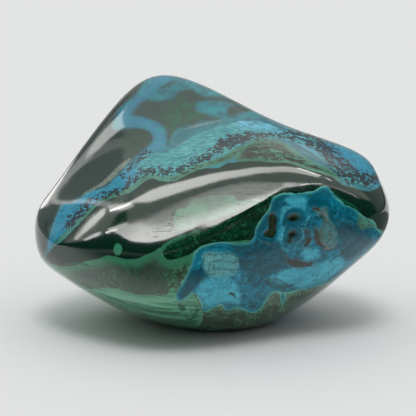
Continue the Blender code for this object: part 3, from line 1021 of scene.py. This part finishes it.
def copied_skin(node, name):
    """A copy of a CAD node, its loose triangles joined and paired into quads."""
    pick_only(node)
    bpy.ops.object.duplicate()
    skin = bpy.context.view_layer.objects.active
    if skin == node:
        raise RuntimeError(f"{node.name} was not copied")
    skin.name = skin.data.name = name
    for key in [key for key in skin.keys() if key.startswith("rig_")]:
        del skin[key]
    skin.parent = None
    pick_only(skin)
    bpy.ops.mesh.customdata_custom_splitnormals_clear()
    bpy.ops.object.mode_set(mode="EDIT")
    bpy.ops.mesh.select_all(action="SELECT")
    bpy.ops.mesh.remove_doubles(threshold=JOIN_WITHIN)
    bpy.ops.mesh.tris_convert_to_quads(face_threshold=PAIR_ANGLE, shape_threshold=PAIR_ANGLE)
    bpy.ops.object.mode_set(mode="OBJECT")
    return skin


def add_fields(skin, stage):
    fields = stone_fields(skin.data, stage.distance, stage.elevation, stage.lens)
    for name, values in fields.items():
        layer = skin.data.attributes.new(name, "FLOAT", "POINT")
        layer.data.foreach_set("value", values.astype(np.float32))
    return fields


def sink(skin, depths, name):
    """Lowers the skin along its normals: depths holds one depth in metres for each vertex."""
    deepest = float(depths.max())
    if deepest <= 0:
        return
    group = skin.vertex_groups.new(name=name)
    for vertex in np.flatnonzero(depths > 0):
        group.add([int(vertex)], float(depths[vertex] / deepest), "REPLACE")
    hollow = skin.modifiers.new(name, "DISPLACE")
    hollow.strength = -deepest
    hollow.mid_level = 0.0
    hollow.vertex_group = group.name
    bpy.ops.object.modifier_apply(modifier=hollow.name)
    skin.vertex_groups.remove(skin.vertex_groups[name])


class STONE_OT_make_skin(bpy.types.Operator):
    """Make the stone's polished skin, with its pits and its pattern"""

    bl_idname = "stone.make_skin"
    bl_label = "Make the stone"

    def execute(self, context):
        settings = context.scene.stone_settings
        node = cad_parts[NODE]
        skin = copied_skin(node, PIECE)
        smooth = skin.modifiers.new("smooth", "SUBSURF")
        smooth.levels = smooth.render_levels = settings.smoothing
        bpy.ops.object.modifier_apply(modifier=smooth.name)
        bpy.ops.object.shade_smooth()
        fields = add_fields(skin, context.scene.stage_settings)
        hollow = np.maximum(
            smooth_step(np.maximum(fields["eyes"], fields["hollow"]), -0.25, 0.35),
            PIT_SHARE * smooth_step(fields["pits"], -0.25, 0.25),
        )
        hollow = np.maximum(hollow, RUST_SHARE * smooth_step(fields["rust"], -0.3, 0.3))
        sink(skin, hollow * settings.pit_depth, "hollows")
        skin.data.materials.clear()
        skin.data.materials.append(stone_finish(settings))
        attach(skin, BODY)
        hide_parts(NODE)
        return {"FINISHED"}


# The far cards stand as the stone mirrors them: degrees to the right of the camera's plane, and
# degrees round that plane from level in front (0), over the top (90), to the back.
LENS_CARD = (
    (-54, 93), (-34, 80.6), (-23, 77.7), (-14, 74.7), (3.5, 75), (17, 74.6), (44, 79), (40, 74),
    (24, 68), (15, 58), (17, 42), (6, 40), (-6, 51), (-10, 57), (-24, 58), (-35, 61), (-41.5, 65.5),
    (-47, 75.7),
)
CREST_CARD = ((45, 83), (58, 92), (62, 90), (56, 80), (47, 78))
SHEEN_CARD = (
    (-38, 78), (-25, 72), (0, 71), (34, 73), (58, 82), (62, 130), (0, 130), (-34, 130), (-36, 104),
)
LEFT_SHEEN_CARD = (
    (-84, 78), (-60, 82), (-46, 90), (-37, 98), (-29, 106), (-25, 114), (-30, 120), (-60, 122),
    (-84, 124),
)
LEFT_DIM_CARD = ((-84, 120), (-60, 118), (-30, 114), (-28, 178), (-60, 200), (-84, 230))
BACK_CARD = (
    (-36, 124), (-20, 122), (0, 122), (30, 122), (60, 122), (75, 128), (80, 178), (0, 178),
    (-36, 178),
)
FAR = 1.2
TENT_LOW = (0.0, 0.0, 0.0, 1.0)
TENT_HIGH = (1.57, 1.585, 1.6, 1.0)
BEHIND_CAMERA = (-0.8, -0.1)  # the tent is dim where its direction's y lies below these
BEHIND_CAMERA_DIMMING = 0.9
CARD_WHITE = (1.0, 0.985, 0.965, 1.0)
SUN_WIDTH = math.radians(22)
FLAG_HEIGHT = 1
FRONT_FLAG = ((-1900, -14), (-60, -14), (60, -14), (1900, -14), (1900, -1950), (-1900, -1950))
RIGHT_FLAG = ((30, -70), (34, -10), (44, 60), (200, 150), (1500, 400), (1500, -70))

# The near cards are strips: millimetres across a level one (x, y) or an upright one (y, z).
TOP_HEIGHT = 80
GLINT_HEIGHT = 79
TOP_STRIP = (
    (-74, 10), (-61, 5), (-51, -0.5), (-42, -2.5), (-36, -2.5), (-29, -5), (-23, -8), (-16, -9),
    (-10, -10), (-3, -11), (7, -9), (19, -6), (33, 3), (42, 7), (52, 8), (61, 6), (64, -5),
    (57, -8), (46, -9), (35, -12), (20, -18), (7, -21), (-3, -23), (-10, -23), (-16, -23),
    (-22, -22), (-28, -21), (-36, -18), (-42, -13), (-51, -5), (-62, 2), (-76, 7),
)
GLINTS = (
    ((-75, 9.5), (-69, 6.8), (-64, 4.3), (-59, 1.2), (-54, -1.8), (-49, -4), (-49.5, -6),
     (-54.5, -4.3), (-60, -1.6), (-65, 1.6), (-70, 4.3), (-75, 7.5)),
    ((-104, -14), (-94, -16.3), (-85, -19), (-76, -21.8), (-76, -24), (-85, -21.6),
     (-94, -19), (-104, -16.8)),
    ((40, 6), (50, 6), (61, 4.8), (61, 2.8), (50, 3.8), (40, 3.8)),
    ((65.5, 3.4), (73, 1.2), (73, -0.2), (65.5, 1.8)),
    ((56, -25), (64, -22), (74, -17.5), (74, -18.8), (64, -23.4), (56, -26.3)),
)
GLINT_SOFTNESS = 0.5 * MM
GLINT_STRENGTH = 2.2
SIDE_DISTANCE = 90
SIDE_UPPER = (
    (23, 91), (23, 84), (19, 75), (14, 66), (8, 56), (-3, 41), (-9, 34), (-4, 46), (0, 58), (4, 68),
    (8, 78), (12, 87),
)
SIDE_LOWER = ((-10, 67), (-7, 59), (-8, 50), (-10, 41), (-14, 37), (-13, 49), (-13, 61))
SIDE_HAZE = (
    (-10, 150), (-6, 128), (0, 112), (8, 99), (16, 92), (24, 89), (28, 93), (26, 100), (21, 111),
    (15, 124), (11, 136), (8, 150),
)
SIDE_MIST = (
    (20, 96), (24, 86), (32, 76), (42, 67), (54, 58), (62, 54), (68, 60), (58, 69), (48, 77),
    (40, 84), (33, 94), (27, 104),
)
SIDE_TAIL = ((60, 60), (68, 48), (82, 36), (100, 28), (112, 38), (98, 54), (82, 63), (68, 66))


def far_point(side, turn):
    side, turn = math.radians(side), math.radians(turn)
    return Vector(AIM) + FAR * Vector((
        math.sin(side), -math.cos(side) * math.cos(turn), math.cos(side) * math.sin(turn)))


def strip_point(x, y):
    return Vector((x, y, TOP_HEIGHT)) * MM


def glint_point(x, y):
    return Vector((x, y, GLINT_HEIGHT)) * MM


def flag_point(x, y):
    return Vector((x, y, FLAG_HEIGHT)) * MM


def side_point(y, z):
    return Vector((-SIDE_DISTANCE, y, z)) * MM


# Each card: its name, outline and placing, the width of its soft edge in metres, the setting that
# lights it, its share of that light, and the fades of card_finish.
CARDS = (
    ("lens_card", LENS_CARD, far_point, 0.02, "cards", 1.14,
     ((2, 1.02, 1.075, 0.4), (1, -0.5, -0.2, 0.6))),
    ("crest_card", CREST_CARD, far_point, 0.05, "cards", 0.45, ()),
    ("top_strip", TOP_STRIP, strip_point, 2.5 * MM, "cards", 0.9, ((0, -0.02, 0.04, 0.63),)),
    ("side_upper_strip", SIDE_UPPER, side_point, 3 * MM, "cards", 0.8, ()),
    ("side_lower_strip", SIDE_LOWER, side_point, 1.2 * MM, "cards", 0.9, ()),
    ("side_haze_strip", SIDE_HAZE, side_point, 5 * MM, "cards", 0.6, ()),
    ("side_mist_strip", SIDE_MIST, side_point, 5 * MM, "cards", 0.28, ()),
    ("side_tail_strip", SIDE_TAIL, side_point, 4 * MM, "cards", 0.45, ()),
    ("sheen_card", SHEEN_CARD, far_point, 0.12, "sheen", 1, ()),
    ("left_sheen_card", LEFT_SHEEN_CARD, far_point, 0.12, "sheen", 1.1, ()),
    ("left_dim_card", LEFT_DIM_CARD, far_point, 0.12, "sheen", 0.35, ()),
    ("back_card", BACK_CARD, far_point, 0.1, "back", 1, ((0, 0.1, 0.6, 0.35),)),
)
# Black cloth in front and to the right keeps the pale floor out of the polish: its name, outline,
# soft edge in metres and how thick it is.
FLAGS = (("front_cloth", FRONT_FLAG, 45 * MM, 1.0), ("right_cloth", RIGHT_FLAG, 14 * MM, 0.8))


def mirror_card(name, points, softness, material):
    """A card that only mirrored light meets, cut to its corners. Its edge is soft."""
    mesh = bpy.data.meshes.new(name)
    shape = bmesh.new()
    share = shape.verts.layers.float.new("share")
    card_face = shape.faces.new([shape.verts.new(point) for point in points])
    card_face.normal_update()
    outer = set(card_face.verts)
    bmesh.ops.inset_region(
        shape, faces=[card_face], thickness=softness, use_boundary=True, use_even_offset=False)
    for corner in shape.verts:
        corner[share] = 0.0 if corner in outer else 1.0
    bmesh.ops.triangulate(shape, faces=shape.faces[:])
    shape.to_mesh(mesh)
    shape.free()
    card = bpy.data.objects.new(name, mesh)
    bpy.context.scene.collection.objects.link(card)
    card.data.materials.append(material)
    card.visible_camera = card.visible_diffuse = card.visible_shadow = False


def card_finish(name, strength, fades=(), fullest=1.0):
    """A card's light, clear towards its rim; without strength it is black cloth.

    Each fade is an axis, two places along it and the share of the light left at the second. The
    fullest share is that of the card's middle: below 1 the card is thin.
    """
    finish = bpy.data.materials.new(name)
    maker = Maker(finish)
    share = maker.edge(maker.attribute("share"), 0.0, 1.0) * fullest
    for axis, start, end, left in fades:
        along = maker.along(maker.place(), axis)
        share = share * (1 - maker.edge(along, start, end) * (1 - left))
    light = maker.node("ShaderNodeEmission", {}, {"Color": CARD_WHITE, "Strength": strength})
    clear = maker.node("ShaderNodeBsdfTransparent")
    maker.surface(maker.node("ShaderNodeMixShader", {}, {0: share, 1: clear, 2: light}))
    return finish


class STONE_OT_set_stage(bpy.types.Operator):
    """Set the plain floor, the even tent of light, the light cards and the camera"""

    bl_idname = "stone.set_stage"
    bl_label = "Set the stage"

    def execute(self, context):
        scene, settings = context.scene, context.scene.stage_settings
        bpy.ops.object.select_all(action="DESELECT")
        bpy.ops.mesh.primitive_plane_add(size=settings.floor_size)
        floor = context.active_object
        floor.name = "floor"
        plain = bpy.data.materials.new("plain_floor")
        maker = Maker(plain)
        maker.surface(maker.node(
            "ShaderNodeBsdfDiffuse", {}, {"Color": (*settings.floor_colour, 1.0)}))
        floor.data.materials.append(plain)

        for name, outline, placed, softness, source, strength, fades in CARDS:
            mirror_card(name, [placed(*corner) for corner in outline], softness,
                        card_finish(name + "_light", strength * getattr(settings, source), fades))
        glint = card_finish("glint_light", GLINT_STRENGTH * settings.cards)
        for number, outline in enumerate(GLINTS):
            mirror_card(f"glint_{number}", [glint_point(*corner) for corner in outline],
                        GLINT_SOFTNESS, glint)
        for name, outline, softness, thickness in FLAGS:
            mirror_card(name, [flag_point(*corner) for corner in outline], softness,
                        card_finish(name + "_black", 0.0, fullest=thickness))

        sun_data = bpy.data.lights.new("soft_overhead", "SUN")
        sun_data.energy = settings.overhead
        sun_data.angle = SUN_WIDTH
        sun = bpy.data.objects.new("soft_overhead", sun_data)
        scene.collection.objects.link(sun)
        sun.rotation_euler = (settings.lean, 0, 0)
        sun.visible_glossy = False

        world = bpy.data.worlds.new("tent")
        maker = Maker(world)
        sky = maker.place(output=0)
        behind_camera = 1 - maker.edge(maker.along(sky, 1), *BEHIND_CAMERA)
        height = maker.along(sky, 2) * (1 - behind_camera * BEHIND_CAMERA_DIMMING)
        maker.surface(maker.node("ShaderNodeBackground", {}, {
            "Color": maker.blend(height, TENT_LOW, TENT_HIGH), "Strength": settings.tent,
        }), "World")
        world.cycles_visibility.glossy = False
        scene.world = world

        camera_data = bpy.data.cameras.new("camera")
        camera_data.lens = settings.lens
        camera_data.sensor_width = SENSOR
        camera_data.clip_start = NEAREST_SEEN
        camera = bpy.data.objects.new("camera", camera_data)
        scene.collection.objects.link(camera)
        back = Vector((0, -math.cos(settings.elevation), math.sin(settings.elevation)))
        camera.location = Vector(AIM) + back * settings.distance
        camera.rotation_euler = (math.pi / 2 - settings.elevation, 0, 0)
        scene.camera = camera
        scene.view_settings.view_transform = "Standard"
        return {"FINISHED"}


class STONE_PT_panel(bpy.types.Panel):
    """The stone's and the stage's settings, with a button for each"""

    bl_idname = "STONE_PT_panel"
    bl_label = "Polished stone"
    bl_space_type = "VIEW_3D"
    bl_region_type = "UI"
    bl_category = "Stone"

    def draw(self, context):
        scene = context.scene
        for settings, operator in (
            (scene.stone_settings, STONE_OT_make_skin),
            (scene.stage_settings, STONE_OT_set_stage),
        ):
            column = self.layout.column()
            for name in settings.__annotations__:
                column.prop(settings, name)
            column.operator(operator.bl_idname)


CLASSES = (StoneSettings, StageSettings, STONE_OT_make_skin, STONE_OT_set_stage, STONE_PT_panel)


def register():
    for one in CLASSES:
        bpy.utils.register_class(one)
    bpy.types.Scene.stone_settings = PointerProperty(type=StoneSettings)
    bpy.types.Scene.stage_settings = PointerProperty(type=StageSettings)


def unregister():
    del bpy.types.Scene.stage_settings
    del bpy.types.Scene.stone_settings
    for one in reversed(CLASSES):
        bpy.utils.unregister_class(one)


def main():
    register()
    bpy.ops.stone.make_skin()
    bpy.ops.stone.set_stage()


if __name__ == "__main__":
    main()
